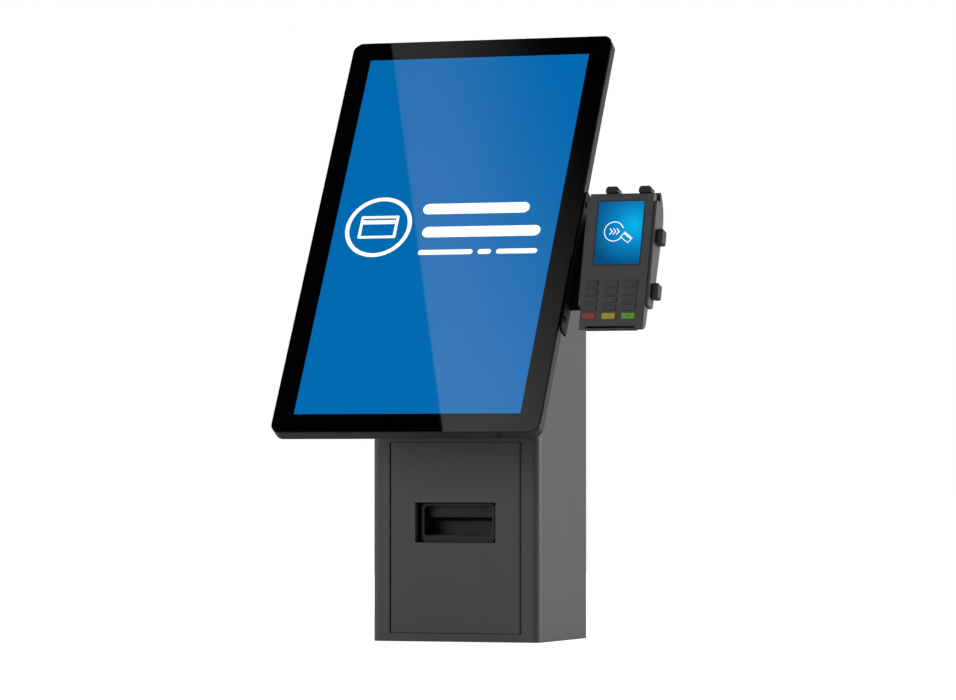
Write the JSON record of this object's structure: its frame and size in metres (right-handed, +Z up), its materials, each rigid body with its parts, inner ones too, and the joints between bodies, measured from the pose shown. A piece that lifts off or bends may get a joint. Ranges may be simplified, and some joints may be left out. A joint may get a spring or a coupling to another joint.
{
  "type": "self-service payment kiosk",
  "caption": "Countertop payment kiosk: portrait touch display on a steel pedestal with a receipt printer behind a door, and a card payment terminal in a tilting grip tray.",
  "frame": {"origin": "centre of the counter bolt pattern on the underside of the base plate", "axes": "+X to the right of the customer facing the screen, +Y away from the customer, +Z up"},
  "size_m": [0.4308, 0.3345, 0.6915],
  "materials": {
    "powder_coated_steel": "fine textured powder coat, charcoal",
    "black_steel": "satin black powder coat",
    "zinc_steel": "zinc plated",
    "printer_plastic": "moulded, fine grain",
    "ceramic": "machined heat sink",
    "roller_rubber": "ground rubber",
    "paper": "thermal paper, wound",
    "screen_glass": "cover glass, black printed border",
    "panel_module": "lit screen",
    "display_plastic": "moulded, fine grain",
    "tray_plastic": "moulded, satin",
    "grip_rubber": "moulded grip pad",
    "terminal_plastic": "moulded, fine spark texture",
    "circuit_board": "solder resist",
    "reader_steel": "pressed",
    "key_grey": "moulded key",
    "key_red": "moulded key",
    "key_yellow": "moulded key",
    "key_green": "moulded key"
  },
  "bodies": {
    "kiosk": {"base_plate": "powder_coated_steel", "bracket_lock_screw": "zinc_steel", "bracket_screws": "black_steel", "column_shell": "powder_coated_steel", "column_top_cover": "powder_coated_steel", "display_computer": "panel_module", "display_frame": "display_plastic", "display_glass": "screen_glass", "display_rear_cover": "display_plastic", "display_standoff": "black_steel", "display_standoff_screws": "zinc_steel", "door_hinge_brackets": "black_steel", "lcd_panel": "panel_module", "lock_barrel": "zinc_steel", "paper_spindle": "zinc_steel", "power_supply": "printer_plastic", "print_head": "ceramic", "printer_base": "printer_plastic", "printer_fascia": "printer_plastic", "printer_shelf": "black_steel", "rear_panel": "powder_coated_steel", "rear_panel_screws": "zinc_steel", "side_bracket": "black_steel", "tear_bar": "zinc_steel", "tilt_hinge_base": "black_steel", "tilt_hinge_pin": "zinc_steel"},
    "door": {"door_panel": "powder_coated_steel", "door_pivot_pins": "zinc_steel", "door_catch": "black_steel"},
    "lock": {"lock_cam": "zinc_steel"},
    "printer_lid": {"printer_lid": "printer_plastic", "printer_lid_pin": "zinc_steel"},
    "platen": {"platen_roller": "roller_rubber"},
    "roll": {"paper_roll": "paper"},
    "terminal": {"tilt_hinge_leaf": "black_steel", "grip_tray": "tray_plastic", "right_grips": "grip_rubber", "top_grips": "grip_rubber", "terminal_front_housing": "terminal_plastic", "terminal_rear_housing": "terminal_plastic", "terminal_window": "screen_glass", "terminal_lcd": "panel_module", "terminal_board": "circuit_board", "card_reader": "reader_steel"},
    "power_key": {"power_button": "display_plastic"},
    "key_1": {"key_1": "key_grey"},
    "key_2": {"key_2": "key_grey"},
    "key_3": {"key_3": "key_grey"},
    "key_4": {"key_4": "key_grey"},
    "key_5": {"key_5": "key_grey"},
    "key_6": {"key_6": "key_grey"},
    "key_7": {"key_7": "key_grey"},
    "key_8": {"key_8": "key_grey"},
    "key_9": {"key_9": "key_grey"},
    "key_left": {"key_left": "key_grey"},
    "key_0": {"key_0": "key_grey"},
    "key_right": {"key_right": "key_grey"},
    "key_cancel": {"key_cancel": "key_red"},
    "key_clear": {"key_clear": "key_yellow"},
    "key_enter": {"key_enter": "key_green"}
  },
  "joints": [
    {"name": "door_swing", "type": "hinge", "parent": "kiosk", "child": "door", "pos_m": [0.0745, -0.078, 0.118], "axis": [0, 0, 1], "range_deg": [0, 95]},
    {"name": "lock_turn", "type": "hinge", "parent": "kiosk", "child": "lock", "pos_m": [-0.076, -0.058, 0.118], "axis": [-1, 0, 0], "range_deg": [0, 90]},
    {"name": "lid_lift", "type": "hinge", "parent": "kiosk", "child": "printer_lid", "pos_m": [0, 0.049, 0.14], "axis": [-1, 0, 0], "range_deg": [0, 70]},
    {"name": "platen_spin", "type": "hinge", "parent": "printer_lid", "child": "platen", "pos_m": [0, -0.03, 0.143], "axis": [1, 0, 0], "continuous": true},
    {"name": "roll_spin", "type": "hinge", "parent": "kiosk", "child": "roll", "pos_m": [0, 0.015, 0.088], "axis": [1, 0, 0], "continuous": true},
    {"name": "terminal_tilt", "type": "hinge", "parent": "kiosk", "child": "terminal", "pos_m": [0.2237, -0.13451, 0.42496], "axis": [1, 0, 0], "range_deg": [-15, 10]},
    {"name": "power_press", "type": "slide", "parent": "kiosk", "child": "power_key", "axis": [0, 0.4959, 0.8684], "range_m": [0, 0.0009], "stiffness_N_per_m": 400},
    {"name": "key_1_press", "type": "slide", "parent": "terminal", "child": "key_1", "axis": [0, 0.9625, -0.2714], "range_m": [0, 0.0007], "stiffness_N_per_m": 400},
    {"name": "key_2_press", "type": "slide", "parent": "terminal", "child": "key_2", "axis": [0, 0.9625, -0.2714], "range_m": [0, 0.0007], "stiffness_N_per_m": 400},
    {"name": "key_3_press", "type": "slide", "parent": "terminal", "child": "key_3", "axis": [0, 0.9625, -0.2714], "range_m": [0, 0.0007], "stiffness_N_per_m": 400},
    {"name": "key_4_press", "type": "slide", "parent": "terminal", "child": "key_4", "axis": [0, 0.9625, -0.2714], "range_m": [0, 0.0007], "stiffness_N_per_m": 400},
    {"name": "key_5_press", "type": "slide", "parent": "terminal", "child": "key_5", "axis": [0, 0.9625, -0.2714], "range_m": [0, 0.0007], "stiffness_N_per_m": 400},
    {"name": "key_6_press", "type": "slide", "parent": "terminal", "child": "key_6", "axis": [0, 0.9625, -0.2714], "range_m": [0, 0.0007], "stiffness_N_per_m": 400},
    {"name": "key_7_press", "type": "slide", "parent": "terminal", "child": "key_7", "axis": [0, 0.9625, -0.2714], "range_m": [0, 0.0007], "stiffness_N_per_m": 400},
    {"name": "key_8_press", "type": "slide", "parent": "terminal", "child": "key_8", "axis": [0, 0.9625, -0.2714], "range_m": [0, 0.0007], "stiffness_N_per_m": 400},
    {"name": "key_9_press", "type": "slide", "parent": "terminal", "child": "key_9", "axis": [0, 0.9625, -0.2714], "range_m": [0, 0.0007], "stiffness_N_per_m": 400},
    {"name": "key_left_press", "type": "slide", "parent": "terminal", "child": "key_left", "axis": [0, 0.9625, -0.2714], "range_m": [0, 0.0007], "stiffness_N_per_m": 400},
    {"name": "key_0_press", "type": "slide", "parent": "terminal", "child": "key_0", "axis": [0, 0.9625, -0.2714], "range_m": [0, 0.0007], "stiffness_N_per_m": 400},
    {"name": "key_right_press", "type": "slide", "parent": "terminal", "child": "key_right", "axis": [0, 0.9625, -0.2714], "range_m": [0, 0.0007], "stiffness_N_per_m": 400},
    {"name": "key_cancel_press", "type": "slide", "parent": "terminal", "child": "key_cancel", "axis": [0, 0.9625, -0.2714], "range_m": [0, 0.0007], "stiffness_N_per_m": 400},
    {"name": "key_clear_press", "type": "slide", "parent": "terminal", "child": "key_clear", "axis": [0, 0.9625, -0.2714], "range_m": [0, 0.0007], "stiffness_N_per_m": 400},
    {"name": "key_enter_press", "type": "slide", "parent": "terminal", "child": "key_enter", "axis": [0, 0.9625, -0.2714], "range_m": [0, 0.0007], "stiffness_N_per_m": 400}
  ]
}
